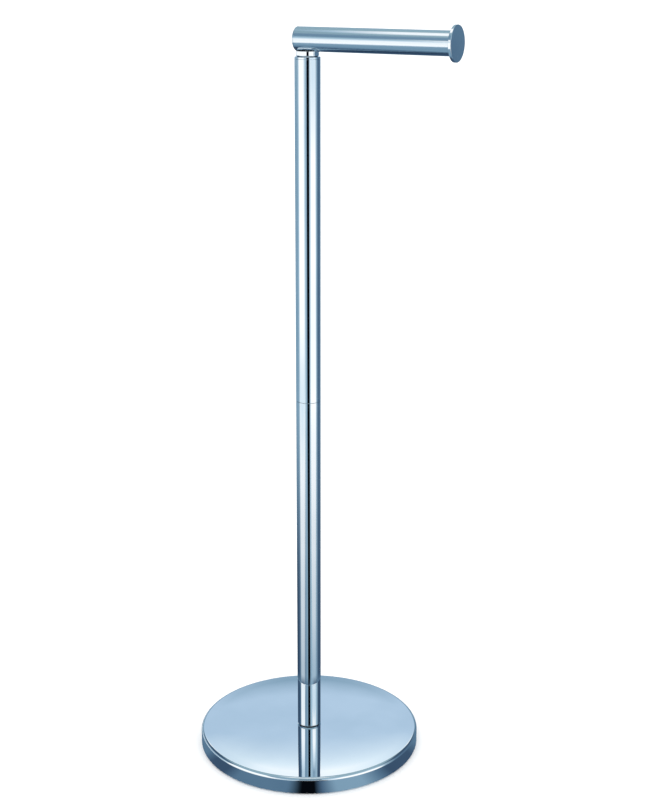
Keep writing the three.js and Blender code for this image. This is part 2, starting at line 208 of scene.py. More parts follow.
def loft(name, rings, sides):
    """A closed mesh through rings. It closes on itself, unless it starts and ends on the axis."""
    loops, vertices = [], []
    for radius, height in rings:
        count = 1 if radius == 0 else sides
        loops.append([len(vertices) + i for i in range(count)])
        for i in range(count):
            angle = 2 * math.pi * i / sides
            r = value_at(radius, angle)
            vertices.append((r * math.cos(angle), r * math.sin(angle), value_at(height, angle)))
    if rings[0][0] != 0:
        loops.append(loops[0])
    faces = []
    for low, high in zip(loops, loops[1:]):
        for i in range(sides):
            corners = (low, i), (low, i + 1), (high, i + 1), (high, i)
            faces.append(list(dict.fromkeys(ring[step % len(ring)] for ring, step in corners)))
    mesh = bpy.data.meshes.new(name)
    mesh.from_pydata(vertices, [], faces)
    return sharpened(bpy.data.objects.new(name, mesh))


def sharpened(piece):
    """Smooth faces with sharp edges, and the piece in the scene."""
    piece.data.polygons.foreach_set("use_smooth", [True] * len(piece.data.polygons))
    piece.data.set_sharp_from_angle(angle=SHARP)
    if piece.name not in bpy.context.scene.collection.objects:
        bpy.context.scene.collection.objects.link(piece)
    return piece


def hexagon(flats):
    """The radius of a hexagon, by its width across flats. A flat lies at angle 0."""
    return lambda angle: flats / 2 / math.cos((angle + SIXTH / 2) % SIXTH - SIXTH / 2)


def hexagon_chamfer(flats, face, side):
    """The edge of a hexagon whose corners a cone cuts off. side is 1 at its lower end, -1 at its upper."""
    radius = hexagon(flats)
    rise = side * HEAD_SLOPE
    return radius, lambda angle: face + rise * (radius(angle) - HEAD_FACE * flats / 2)


def bolt_radius(size):
    """Outside radius of a bolt's thread, by its metric size."""
    return size / 2 * MM - BOLT_PLAY


def hole_radius(size):
    """Greatest radius of a threaded hole, by its metric size."""
    return size / 2 * MM + HOLE_PLAY


def thread(size, low, high, inside=False):
    """The rings of a V thread, upward along a bolt or downward in a hole. It runs out at both ends."""
    pitch = THREAD_PITCH[size]
    depth = THREAD_DEPTH * pitch * (-1 if inside else 1)
    crest = hole_radius(size) if inside else bolt_radius(size)
    count = round((high - low) / pitch * THREAD_ROWS)
    rings = []
    for i in range(count + 1):
        height = low + (high - low) * i / count
        run = min(1, (height - low) / pitch, (high - height) / pitch)
        rings.append((thread_radius(crest, height / pitch, depth * run), height))
    return rings[::-1] if inside else rings


def thread_radius(crest, turns, depth):
    """Radius round the axis of a V groove that winds round it once in a turn."""
    return lambda angle: crest - depth * abs(2 * ((turns - angle / (2 * math.pi)) % 1) - 1)


def subtract(piece, *tools):
    """Cuts closed pieces out of another one, and removes them."""
    for tool in tools:
        cut = piece.modifiers.new("cut", "BOOLEAN")
        cut.operation = "DIFFERENCE"
        cut.solver = "EXACT"
        cut.object = tool
    graph = bpy.context.evaluated_depsgraph_get()
    graph.update()
    shape = bpy.data.meshes.new_from_object(piece.evaluated_get(graph))
    piece.modifiers.clear()
    piece.data = shape
    for tool in tools:
        bpy.data.objects.remove(tool)
    return piece


# ---------------------------------------------------------------- node helpers


def linear(code):
    """A web colour as linear red, green and blue, with alpha 1."""
    channels = [int(code[i : i + 2], 16) / 255 for i in (1, 3, 5)]
    curve = [c / 12.92 if c <= 0.04045 else ((c + 0.055) / 1.055) ** 2.4 for c in channels]
    return (*curve, 1)


class Tree:
    """A shader's node tree, with a short way to add a node and link or set its inputs."""

    def __init__(self, owner):
        owner.use_nodes = True
        self.tree = owner.node_tree
        self.tree.nodes.clear()

    def add(self, kind, inputs=None, **settings):
        """A new node. A socket given as an input is linked to it, and any other value is set on it."""
        node = self.tree.nodes.new("ShaderNode" + kind)
        for key, value in settings.items():
            setattr(node, key, value)
        for key, value in (inputs or {}).items():
            if isinstance(value, bpy.types.NodeSocket):
                self.tree.links.new(value, node.inputs[key])
            else:
                node.inputs[key].default_value = value
        return node

    def math(self, operation, *values):
        """The result of a sum on one or more values."""
        node = self.add("Math", dict(enumerate(values)), operation=operation)
        return node.outputs[0]

    def ramp(self, factor, *stops):
        """A colour ramp. Each stop is (position, colour)."""
        node = self.add("ValToRGB", {"Fac": factor})
        ramp = node.color_ramp
        while len(ramp.elements) < len(stops):
            ramp.elements.new(1)
        for element, (position, color) in zip(ramp.elements, stops):
            element.position = position
            element.color = color
        return node.outputs["Color"]

    def scale(self, value, low, high, to_low=0.0, to_high=1.0, smooth=False):
        """Maps a value from one range to another, clamped."""
        kind = "SMOOTHSTEP" if smooth else "LINEAR"
        inputs = {"Value": value, "From Min": low, "From Max": high, "To Min": to_low, "To Max": to_high}
        return self.add("MapRange", inputs, interpolation_type=kind).outputs["Result"]

    def mix(self, factor, a, b):
        """A colour between two others: the first where the factor is 0, the second where it is 1."""
        node = self.add("Mix", {0: factor, 6: a, 7: b}, data_type="RGBA")
        return node.outputs[2]


# ---------------------------------------------------------------- materials


def principled(name, tree_maker, **sockets):
    """A material with a Principled shader. tree_maker may add and link nodes to it."""
    material = bpy.data.materials.new(name)
    tree = Tree(material)
    shader = tree.add("BsdfPrincipled")
    output = tree.add("OutputMaterial")
    tree.tree.links.new(shader.outputs["BSDF"], output.inputs["Surface"])
    for key, value in sockets.items():
        shader.inputs[key.replace("_", " ")].default_value = value
    tree_maker(tree, shader)
    return material


def noise(tree, scale, detail=3.0, stretch=(1, 1, 1), roughness=0.5):
    """Noise in object space. The stretch multiplies its frequency along X, Y and Z."""
    place = tree.add("TexCoord").outputs["Object"]
    mapped = tree.add("Mapping", {"Vector": place, "Scale": stretch}).outputs["Vector"]
    inputs = {"Vector": mapped, "Scale": scale, "Detail": detail, "Roughness": roughness}
    return tree.add("TexNoise", inputs).outputs["Fac"]


def link(tree, shader, socket, value):
    """Links a value to one of a shader's inputs."""
    tree.tree.links.new(value, shader.inputs[socket])


def bump(tree, shader, height, distance):
    """Relief from a height of 0 to 1, which stands for the distance in metres."""
    node = tree.add("Bump", {"Height": height, "Distance": distance, "Strength": 1.0})
    link(tree, shader, "Normal", node.outputs["Normal"])


def chrome(tree, shader):
    """Mirror chrome: a cool tint, faint polishing haze and very fine polishing lines."""
    cloud = noise(tree, 18, 2)
    link(tree, shader, "Base Color", tree.ramp(cloud, (0.35, linear("#e6ecf0")), (0.65, linear("#eff3f6"))))
    haze = noise(tree, 60, 4)
    link(tree, shader, "Roughness", tree.scale(haze, 0.35, 0.7, 0.01, 0.035))
    lines = noise(tree, 900, 2, (1, 1, 0.05))
    bump(tree, shader, lines, 0.6e-6)


def satin(tree, shader):
    """The arm's chrome over a finely brushed tube, with lengthwise streaks."""
    streaks = noise(tree, 420, 3, (0.012, 1, 1))
    tint = tree.ramp(streaks, (0.35, linear("#d9e2e8")), (0.65, linear("#e8eff3")))
    link(tree, shader, "Base Color", tint)
    link(tree, shader, "Roughness", tree.scale(streaks, 0.35, 0.65, 0.1, 0.16))
    bump(tree, shader, noise(tree, 1500, 2, (0.01, 1, 1)), 2e-6)


def plated(tree, shader):
    """Bright zinc plate, with a soft cloudy passivation."""
    cloud = noise(tree, 120, 4)
    link(tree, shader, "Base Color", tree.ramp(cloud, (0.3, linear("#aeb4b8")), (0.7, linear("#c9ccc8"))))
    link(tree, shader, "Roughness", tree.scale(cloud, 0.3, 0.7, 0.22, 0.4))
    bump(tree, shader, noise(tree, 1500, 3), 6e-6)


def iron(tree, shader):
    """Sand-cast iron: a grainy dark skin with a few rust-brown clouds."""
    cloud = noise(tree, 30, 5)
    stops = (0.3, linear("#2f3032")), (0.6, linear("#454546")), (0.75, linear("#4e4038"))
    link(tree, shader, "Base Color", tree.ramp(cloud, *stops))
    link(tree, shader, "Roughness", tree.scale(noise(tree, 300, 4), 0.3, 0.7, 0.6, 0.85))
    bump(tree, shader, noise(tree, 700, 6, roughness=0.7), 0.15 * MM)


def moulded(low, high, gloss_low, gloss_high):
    """A maker of moulded plastic or rubber between two close colours and two roughnesses."""

    def build(tree, shader):
        cloud = noise(tree, 90, 3)
        link(tree, shader, "Base Color", tree.ramp(cloud, (0.35, linear(low)), (0.65, linear(high))))
        link(tree, shader, "Roughness", tree.scale(noise(tree, 250, 3), 0.35, 0.65, gloss_low, gloss_high))
        bump(tree, shader, noise(tree, 2500, 2), 3e-6)

    return build


def foam(tree, shader):
    """Closed-cell foam: small round cells on a dull dark skin."""
    cloud = noise(tree, 60, 3)
    link(tree, shader, "Base Color", tree.ramp(cloud, (0.35, linear("#222325")), (0.65, linear("#2f3033"))))
    place = tree.add("TexCoord").outputs["Object"]
    cells = tree.add("TexVoronoi", {"Vector": place, "Scale": 900}).outputs["Distance"]
    bump(tree, shader, cells, 0.05 * MM)


MATERIALS = {
    "polished_chrome": principled("polished_chrome", chrome, Metallic=1),
    "satin_chrome": principled("satin_chrome", satin, Metallic=1),
    "zinc_plate": principled("zinc_plate", plated, Metallic=1),
    "cast_iron": principled("cast_iron", iron, Metallic=0.5),
    "black_acetal": principled("black_acetal", moulded("#1c1d1f", "#25262a", 0.3, 0.42)),
    "blue_nylon": principled("blue_nylon", moulded("#2a67a4", "#3476b8", 0.35, 0.5)),
    "black_rubber": principled("black_rubber", moulded("#141517", "#1e2023", 0.5, 0.7)),
    "black_foam": principled("black_foam", foam, Roughness=0.95),
}


# ---------------------------------------------------------------- pieces on the frame

BODY_OF = {node: body for body, nodes in frame["record"]["behaviour"]["bodies"].items() for node in nodes}
SLOT_OF = {part["node"]: part["material_slot"] for part in frame["record"]["subparts"]}


def stand_for(piece, node):
    """Gives a piece the body, the slot and the material of the CAD node that it replaces, and hides that
    node.
    """
    piece.data.materials.append(MATERIALS[SLOT_OF[node]])
    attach(piece, BODY_OF[node])
    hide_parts(node)
    return piece


def upright_size(node):
    """Outside radius, bottom and top of a node that is turned round the column's axis."""
    low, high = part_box(node)
    return high.y, low.z, high.z


def arm_size(node):
    """Outside radius, rear and front of a node that is turned round the arm's axis."""
    low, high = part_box(node)
    return high.y, low.x, high.x


arm_low, arm_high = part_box("arm_tube")
ARM_Z = (arm_low.z + arm_high.z) / 2
ALONG_ARM = Matrix.Translation((0, 0, ARM_Z)) @ Matrix.Rotation(math.radians(90), 4, "Y")

FINE = 256  # sides of a turned piece
MEDIUM = 128
SMALL = 64
HEXAGON = 48  # sides of a loft that may hold a hexagon, whose corners fall on its points
FINE_HEXAGON = 144

TUBE_WALL = 1.2 * MM
HAIR = 0.12 * MM  # the least rounding of any turned edge
FIT = 0.05 * MM  # clearance where two pieces meet
BUSH_RADIUS = 7 * MM
BUSH_FLANGE = 0.6 * MM


def tube_outline(radius, low, high, edge):
    """Outline corners of a tube. The outside of its ends is rounded by edge."""
    bore = radius - TUBE_WALL
    return [(bore, low, HAIR), (radius, low, edge), (radius, high, edge), (bore, high, HAIR)]


# ---------------------------------------------------------------- base

M10_HOLE = hole_radius(10)
SHELL_WALL = 1.2 * MM
SHELL_LIP = 5 * MM  # width of the lip rolled under the weight
SHOULDER = 3 * MM
LIP_BEND = 1.4 * MM
CROWN_DROP = 0.8 * MM
CROWN_POWER = 5
CROWN_STEPS = 40
PAD_LOW_EDGE = 0.4 * MM
PAD_HIGH_EDGE = 0.3 * MM


def crown(radius, rim, top):
    """Height of the base's crowned top: nearly flat, and falling faster near the rim."""
    return top - CROWN_DROP * (radius / rim) ** CROWN_POWER


def crown_points(start, end, rim, top):
    """Outline corners along the crown, from one radius to another."""
    points = []
    for i in range(CROWN_STEPS + 1):
        radius = start + (end - start) * i / CROWN_STEPS
        points.append((radius, crown(radius, rim, top)))
    return points


def base_shell():
    """The pressed cover: its rolled lip, wall, rounded shoulder and crown, and the same again inside."""
    radius, low, top = upright_size("base_shell")
    rim = radius - SHOULDER
    inner = radius - SHELL_WALL
    outside = crown_points(rim - 2 * SHOULDER, M10_HOLE, rim, top)
    inside = crown_points(M10_HOLE, rim - 2 * SHOULDER, rim, top - SHELL_WALL)
    corners = [
        (radius - SHELL_LIP, low, HAIR),
        (radius, low, LIP_BEND),
        (radius, crown(rim, rim, top), SHOULDER),
        *outside,
        *inside,
        (inner, crown(rim, rim, top) - SHELL_WALL, SHOULDER - SHELL_WALL),
        (inner, low + SHELL_WALL, LIP_BEND / 4),
        (radius - SHELL_LIP, low + SHELL_WALL, HAIR),
    ]
    stand_for(lathe("shell", corners, FINE), "base_shell")


def anti_slip_pad():
    """The foam disc under the base."""
    radius, low, high = upright_size("anti_slip_pad")
    corners = [(0, low), (radius, low, PAD_LOW_EDGE), (radius, high, PAD_HIGH_EDGE), (0, high)]
    stand_for(lathe("pad", corners, FINE), "anti_slip_pad")


HEAD_FLATS = 17 * MM  # hexagon head of the base stud
HEAD_HEIGHT = 6.4 * MM
POCKET_PLAY = 0.3 * MM  # between the head and the weight's pocket, across flats
WEIGHT_CHAMFER = 3 * MM
WEIGHT_EDGE = 0.5 * MM  # chamfer at its foot
END_CHAMFER = 0.8 * MM  # at both ends of a bolt and of a plug
HOLE_LEAD = 0.4 * MM  # chamfer at both ends of a threaded hole


def base_weight():
    """The cast disc, with a hexagonal pocket from below for the stud's head."""
    radius, low, top = upright_size("base_weight")
    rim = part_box("base_shell")[1].y - SHOULDER
    top_radius = radius - WEIGHT_CHAMFER
    pocket = hexagon(HEAD_FLATS + POCKET_PLAY)
    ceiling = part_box("base_stud")[0].z + HEAD_HEIGHT + FIT
    rings = [
        (pocket, low),
        (radius - WEIGHT_EDGE, low),
        (radius, low + WEIGHT_EDGE),
        (radius, crown(top_radius, rim, top) - WEIGHT_CHAMFER),
        *crown_points(top_radius, M10_HOLE, rim, top),
        (M10_HOLE, ceiling),
        (pocket, ceiling),
    ]
    stand_for(loft("weight", rings, FINE_HEXAGON), "base_weight")


def base_stud():
    """The hexagon bolt in the weight's pocket, which holds the base on the column."""
    _, low, high = upright_size("base_stud")
    head_top = low + HEAD_HEIGHT
    rings = [
        (0, low),
        (HEAD_FACE * HEAD_FLATS / 2, low),
        hexagon_chamfer(HEAD_FLATS, low, 1),
        (hexagon(HEAD_FLATS), head_top),
        (bolt_radius(10), head_top),
        *bolt_end(10, head_top + THREAD_PITCH[10], high),
    ]
    stand_for(loft("base_bolt", rings, HEXAGON), "base_stud")


def bolt_end(size, low, high):
    """The upper end of a bolt: its thread and its chamfered tip."""
    radius = bolt_radius(size)
    tip = radius - END_CHAMFER
    return [*thread(size, low, high - END_CHAMFER), (tip, high), (0, high)]


def threaded_rod(name, node, size, low, high, placement=UPRIGHT):
    """A headless bolt, threaded from end to end."""
    radius = bolt_radius(size)
    rings = [(0, low), (radius - END_CHAMFER, low), *bolt_end(size, low + END_CHAMFER, high)]
    piece = loft(name, rings, HEXAGON)
    piece.data.transform(placement)
    stand_for(piece, node)


def threaded_plug(name, node, size, radius, low, high, placement=UPRIGHT):
    """A plug pressed into a tube, with a threaded hole through it."""
    rings = [
        (hole_radius(size) + HOLE_LEAD, low),
        (radius - END_CHAMFER, low),
        (radius, low + END_CHAMFER),
        (radius, high - END_CHAMFER),
        (radius - END_CHAMFER, high),
        (hole_radius(size) + HOLE_LEAD, high),
        *thread(size, low + HOLE_LEAD, high - HOLE_LEAD, inside=True),
    ]
    piece = loft(name, rings, HEXAGON)
    piece.data.transform(placement)
    stand_for(piece, node)


# ---------------------------------------------------------------- column

FOOT_CHAMFER = 0.9 * MM
PLUG_LEAD = 0.6 * MM  # rounding at the end of a plug that is pressed into the column
BORE_EDGE = 0.3 * MM  # rounding round the bore at that end
TUBE_EDGE = 0.15 * MM
TOP_EDGE = 0.4 * MM  # rounding of the column's top


def flat_ring(name, node, bore, sides):
    """A flat ring with its edges just broken."""
    radius, low, high = upright_size(node)
    corners = [(bore, low, HAIR), (radius, low, HAIR), (radius, high, HAIR), (bore, high, HAIR)]
    stand_for(lathe(name, corners, sides), node)


def foot_plug():
    """The chamfered flange on the dark ring, with its plug inside the lower tube."""
    radius, low, high = upright_size("foot_plug")
    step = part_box("lower_tube")[0].z - FIT
    plug = radius - TUBE_WALL - FIT
    corners = [
        (M10_HOLE, low, HAIR),
        (radius - FOOT_CHAMFER, low, HAIR),
        (radius, low + FOOT_CHAMFER, HAIR),
        (radius, step, HAIR),
        (plug, step),
        (plug, high, PLUG_LEAD),
        (M10_HOLE, high, BORE_EDGE),
    ]
    stand_for(lathe("foot_flange", corners, MEDIUM), "foot_plug")


def column_tube(name, node):
    """One half of the column."""
    radius, low, high = upright_size(node)
    stand_for(lathe(name, tube_outline(radius, low, high, TUBE_EDGE), MEDIUM), node)


def column_cap():
    """The flange that closes the column, its plug in the upper tube, and the bushes' bore and recess."""
    radius, low, high = upright_size("column_cap")
    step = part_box("upper_tube")[1].z + FIT
    plug = radius - TUBE_WALL - FIT
    bore = BUSH_RADIUS + FIT
    recess, _, bush_top = upright_size("upper_bush")
    recess += FIT
    seat = bush_top - BUSH_FLANGE - FIT
    corners = [
        (bore, low, BORE_EDGE),
        (plug, low, PLUG_LEAD),
        (plug, step),
        (radius, step, HAIR),
        (radius, high, TOP_EDGE),
        (recess, high, HAIR),
        (recess, seat),
        (bore, seat, HAIR),
    ]
    stand_for(lathe("top_cap", corners, MEDIUM), "column_cap")


# ---------------------------------------------------------------- swivel

JOURNAL_HOLE = 5.1 * MM
WASHER_HOLE = hole_radius(8)
BUSH_LEAD = 0.4 * MM  # rounding at the inner end of a bush
SPINDLE_EDGE = 0.2 * MM
JOURNAL_DROP = 1 * MM  # from the top of the neck to the top of the spindle's journal
WAVES = 3
WAVE_THICKNESS = 0.5 * MM
WAVE_BORE = 4.3 * MM
WAVE_EDGE = 0.1 * MM
NUT_FLATS = 13 * MM
NUT_SEAT = 5.2 * MM  # radius of the seat that holds the nylon ring
NUT_COLLAR = 2 * MM  # height of the round collar round that seat
NUT_COLLAR_RADIUS = 6.2 * MM
NUT_EDGE = 0.3 * MM
NECK_ROUNDING = 0.9 * MM
NECK_TAPER = math.tan(math.radians(3))
NECK_STEP = 1 * MM  # longest face up the neck, so that the groove in its top comes out round
GROOVE_GAP = 0.1 * MM  # between the arm tube and the neck's groove


def upper_bush():
    """The upper bearing. Its flange lies in the cap's recess."""
    radius, low, high = upright_size("upper_bush")
    face = high - BUSH_FLANGE
    corners = [
        (JOURNAL_HOLE, low, HAIR),
        (BUSH_RADIUS, low, BUSH_LEAD),
        (BUSH_RADIUS, face, HAIR),
        (radius, face, HAIR),
        (radius, high, HAIR),
        (JOURNAL_HOLE, high, HAIR),
    ]
    stand_for(lathe("bush_upper", corners, SMALL), "upper_bush")


def lower_bush():
    """The lower bearing. Its flange lies under the cap's plug."""
    radius, low, high = upright_size("lower_bush")
    face = low + BUSH_FLANGE
    corners = [
        (JOURNAL_HOLE, low, HAIR),
        (radius, low, HAIR),
        (radius, face, HAIR),
        (BUSH_RADIUS, face, HAIR),
        (BUSH_RADIUS, high, BUSH_LEAD),
        (JOURNAL_HOLE, high, HAIR),
    ]
    stand_for(lathe("bush_lower", corners, SMALL), "lower_bush")


def swivel_spindle():
    """The smooth journal that turns in the bushes, between the nut's thread and the arm's."""
    radius, low, high = upright_size("swivel_spindle")
    journal_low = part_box("thrust_washer")[1].z + FIT
    journal_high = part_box("neck_collar")[1].z - JOURNAL_DROP
    bolt = bolt_radius(8)
    rings = [
        (0, low),
        (bolt - END_CHAMFER, low),
        *thread(8, low + END_CHAMFER, journal_low - SPINDLE_EDGE),
        (bolt, journal_low),
        (radius - SPINDLE_EDGE, journal_low),
        (radius, journal_low + SPINDLE_EDGE),
        (radius, journal_high - SPINDLE_EDGE),
        (radius - SPINDLE_EDGE, journal_high),
        (bolt, journal_high),
        *bolt_end(8, journal_high + SPINDLE_EDGE, high),
    ]
    stand_for(loft("spindle", rings, HEXAGON), "swivel_spindle")


def wave_washer():
    """A washer bent into waves round its axis, which springs between its neighbours."""
    radius, low, high = upright_size("wave_washer")
    swing = (high - low - WAVE_THICKNESS) / 2

    def wave(rise):
        return lambda angle: low + rise + swing * (1 + math.cos(WAVES * angle))

    rings = [
        (WAVE_BORE, wave(WAVE_EDGE)),
        (WAVE_BORE + WAVE_EDGE, wave(0)),
        (radius - WAVE_EDGE, wave(0)),
        (radius, wave(WAVE_EDGE)),
        (radius, wave(WAVE_THICKNESS - WAVE_EDGE)),
        (radius - WAVE_EDGE, wave(WAVE_THICKNESS)),
        (WAVE_BORE + WAVE_EDGE, wave(WAVE_THICKNESS)),
        (WAVE_BORE, wave(WAVE_THICKNESS - WAVE_EDGE)),
    ]
    stand_for(loft("spring_washer", rings, FINE_HEXAGON), "wave_washer")


def lock_nut():
    """A hexagon nut, with the nylon ring's collar at its lower end."""
    _, low, high = upright_size("lock_nut")
    collar_top = low + NUT_COLLAR
    face = HEAD_FACE * NUT_FLATS / 2
    rings = [
        (NUT_SEAT, low),
        (NUT_COLLAR_RADIUS - NUT_EDGE, low),
        (NUT_COLLAR_RADIUS, low + NUT_EDGE),
        (NUT_COLLAR_RADIUS, collar_top - NUT_EDGE),
        (face, collar_top),
        hexagon_chamfer(NUT_FLATS, collar_top, 1),
        hexagon_chamfer(NUT_FLATS, high, -1),
        (face, high),
        (WASHER_HOLE + NUT_EDGE, high),
        *thread(8, collar_top + NUT_EDGE, high - NUT_EDGE, inside=True),
        (WASHER_HOLE, collar_top),
        (NUT_SEAT, collar_top),
    ]
    stand_for(loft("nut", rings, HEXAGON), "lock_nut")


def neck_collar():
    """The collar under the arm. Its top is hollowed where the arm tube lies in it."""
    radius, low, high = upright_size("neck_collar")
    top_radius = radius - NECK_TAPER * (high - low)
    corners = [
        (JOURNAL_HOLE, low, HAIR),
        (radius, low, NECK_ROUNDING),
        (top_radius, high, HAIR),
        (JOURNAL_HOLE, high, HAIR),
    ]
    neck = lathe("neck", corners, FINE, longest=NECK_STEP)
    groove = arm_size("arm_tube")[0] + GROOVE_GAP
    for vertex in neck.data.vertices:
        saddle = ARM_Z - math.sqrt(groove**2 - vertex.co.y**2)
        vertex.co.z = min(vertex.co.z, saddle)
    stand_for(neck, "neck_collar")


# ---------------------------------------------------------------- arm

DISC_EDGE = 0.5 * MM
DISC_DOME = 0.15 * MM  # how far the disc's face falls from its middle to its edge
DOME_STEPS = 8
SCREW_SOCKET = 2.5 * MM  # width and depth of the lock screw's hexagonal socket
CAP_EDGE = 0.8 * MM  # rounding of the arm's rear end
CAP_LEAD = 0.3 * MM  # rounding at the end of the rear cap's plug
BOSS_LEAD = 0.4 * MM  # and of the disc's boss
SPINDLE_ROOM = 0.5 * MM  # left over the spindle in the block's hole
ROUND_FACE = 0.99  # how closely a face looks away from the arm's axis if it is part of its round


def upright_hole(size, low, high):
    """A tool for a round hole across the arm, on the column's axis."""
    radius = hole_radius(size)
    return loft("hole", [(0, low), (radius, low), (radius, high), (0, high)], HEXAGON)


def arm_tube():
    """The arm, with a hole from below for the spindle."""
    radius, rear, front = arm_size("arm_tube")
    tube = lathe("roll_arm", tube_outline(radius, rear, front, HAIR), MEDIUM, ALONG_ARM)
    subtract(tube, upright_hole(8, ARM_Z - 2 * radius, ARM_Z))
    radial_normals(tube.data)
    stand_for(tube, "arm_tube")


def radial_normals(mesh):
    """Exact normals on the round faces of a tube along the arm."""
    normals = []
    for face in mesh.polygons:
        for corner in face.vertices:
            place = mesh.vertices[corner].co
            away = Vector((0, place.y, place.z - ARM_Z)).normalized()
            facing = away.dot(face.normal)
            on_round = abs(facing) > ROUND_FACE
            normals.append(away * math.copysign(1, facing) if on_round else face.normal)
    mesh.polygons.foreach_set("use_smooth", [True] * len(mesh.polygons))
    mesh.normals_split_custom_set(normals)


def arm_mount_block():
    """The block in the arm, with the spindle's hole from below and the lock screw's from the front."""
    radius, rear, front = arm_size("arm_mount_block")
    rings = [
        (0, rear),
        (radius - END_CHAMFER, rear),
        (radius, rear + END_CHAMFER),
        (radius, front - END_CHAMFER),
        (radius - END_CHAMFER, front),
        (0, front),
    ]
    block = loft("mount_block", rings, HEXAGON)
    screw = hole_radius(5)
    screw_hole = loft("screw_hole", [(0, 0), (screw, 0), (screw, 2 * front), (0, 2 * front)], HEXAGON)
    for piece in (block, screw_hole):
        piece.data.transform(ALONG_ARM)
    hole_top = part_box("swivel_spindle")[1].z + SPINDLE_ROOM
    subtract(block, upright_hole(8, ARM_Z - 2 * radius, hole_top), screw_hole)
    stand_for(sharpened(block), "arm_mount_block")


def spindle_lock_screw():
    """A set screw with a hexagonal socket in its front end."""
    _, rear, front = arm_size("spindle_lock_screw")
    radius = bolt_radius(5)
    socket = hexagon(SCREW_SOCKET)
    rings = [
        (0, rear),
        (radius - END_CHAMFER, rear),
        *thread(5, rear + END_CHAMFER, front - END_CHAMFER / 2),
        (radius - END_CHAMFER / 2, front),
        (socket, front),
        (socket, front - SCREW_SOCKET),
        (0, front - SCREW_SOCKET),
    ]
    screw = loft("lock_screw", rings, HEXAGON)
    screw.data.transform(ALONG_ARM)
    stand_for(screw, "spindle_lock_screw")


def arm_rear_cap():
    """The flat cap on the arm's rear end, with its plug in the tube."""
    radius, rear, front = arm_size("arm_rear_cap")
    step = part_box("arm_tube")[0].x - FIT
    plug = radius - TUBE_WALL - FIT
    corners = [
        (0, rear),
        (radius, rear, CAP_EDGE),
        (radius, step, HAIR),
        (plug, step),
        (plug, front, CAP_LEAD),
        (0, front),
    ]
    stand_for(lathe("rear_cap", corners, MEDIUM, ALONG_ARM), "arm_rear_cap")


def end_disc():
    """The disc, domed a little, with a boss in the arm tube and a blind hole for its stud."""
    radius, rear, front = arm_size("end_disc")
    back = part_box("arm_tube")[1].x + FIT
    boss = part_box("arm_tube")[1].y - TUBE_WALL - FIT
    bore = hole_radius(6)
    hole_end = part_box("end_disc_stud")[1].x + FIT
    dome = []
    for i in range(1, DOME_STEPS + 1):
        share = 1 - i / DOME_STEPS
        dome.append((share * radius, front - DISC_DOME * share**2))
    corners = [
        (0, hole_end),
        (bore, hole_end),
        (bore, rear, HAIR),
        (boss, rear, BOSS_LEAD),
        (boss, back),
        (radius, back, DISC_EDGE),
        (radius, front - DISC_DOME, DISC_EDGE),
        *dome,
    ]
    stand_for(lathe("stop_disc", corners, FINE, ALONG_ARM), "end_disc")


# ---------------------------------------------------------------- assembly, from the floor up

anti_slip_pad()
base_shell()
base_weight()
base_stud()

flat_ring("foot_ring", "foot_washer", M10_HOLE, MEDIUM)
foot_plug()
column_tube("column_lower", "lower_tube")
threaded_plug("insert_lower", "lower_tube_insert", 10, *upright_size("lower_tube_insert"))
threaded_rod("coupling", "coupling_stud", 10, *upright_size("coupling_stud")[1:])
threaded_plug("insert_upper", "upper_tube_insert", 10, *upright_size("upper_tube_insert"))
column_tube("column_upper", "upper_tube")
column_cap()

upper_bush()
lower_bush()
swivel_spindle()
flat_ring("washer_upper", "thrust_washer", WASHER_HOLE, SMALL)
wave_washer()
flat_ring("washer_lower", "clamp_washer", WASHER_HOLE, SMALL)
lock_nut()
flat_ring("nut_ring", "lock_nut_ring", WASHER_HOLE, SMALL)
neck_collar()

arm_tube()
arm_mount_block()
spindle_lock_screw()
arm_rear_cap()
threaded_plug("insert_front", "arm_front_insert", 6, *arm_size("arm_front_insert"), ALONG_ARM)
threaded_rod("disc_stud", "end_disc_stud", 6, *arm_size("end_disc_stud")[1:], ALONG_ARM)
end_disc()


# ---------------------------------------------------------------- camera

CAMERA_AZIMUTH = math.radians(28.17)  # where the camera stands, seen from the column
CAMERA_DISTANCE = 1.3069
CAMERA_HEIGHT = 0.7213
LOOK_AZIMUTH = math.radians(27.13)
LOOK_DOWN = math.radians(16.42)
ROLL = math.radians(0.14)
LENS = 68.74  # focal length and width of the sensor, in millimetres
SENSOR = 36


def camera():
    """The camera, where the photo was taken from."""
    data = bpy.data.cameras.new("camera")
    data.lens = LENS
    data.sensor_width = SENSOR
    camera = bpy.data.objects.new("camera", data)
    bpy.context.scene.collection.objects.link(camera)
    x = CAMERA_DISTANCE * math.sin(CAMERA_AZIMUTH)
    y = -CAMERA_DISTANCE * math.cos(CAMERA_AZIMUTH)
    turn = Matrix.Rotation(LOOK_AZIMUTH, 4, "Z") @ Matrix.Rotation(math.pi / 2 - LOOK_DOWN, 4, "X")
    camera.matrix_world = Matrix.Translation((x, y, CAMERA_HEIGHT)) @ turn @ Matrix.Rotation(ROLL, 4, "Z")
    bpy.context.scene.camera = camera


camera()


# ---------------------------------------------------------------- studio
# Chrome shows little but what stands round it, so mirrors see a room that the camera doesn't: cloth,
# panels and a dark floor that glows with painted light and shade. Directions are azimuths in degrees,
# from the camera's side of the column, positive to the right.

WHITE = linear("#ffffff")
PALE = linear("#d6e5ef")
MIST = linear("#a6c0d0")
STEEL = linear("#7b99ae")
SLATE = linear("#55728a")
DUSK = linear("#47617a")
NAVY = linear("#394f67")
INK = linear("#23354a")
SKY = linear("#adc4d9")
FOG = linear("#8ba6b3")
BLACK = linear("#05080d")


def studio_direction(azimuth):
    """The level unit vector at an azimuth from the column."""
    angle = math.radians(azimuth) + CAMERA_AZIMUTH
    return Vector((math.sin(angle), -math.cos(angle), 0))


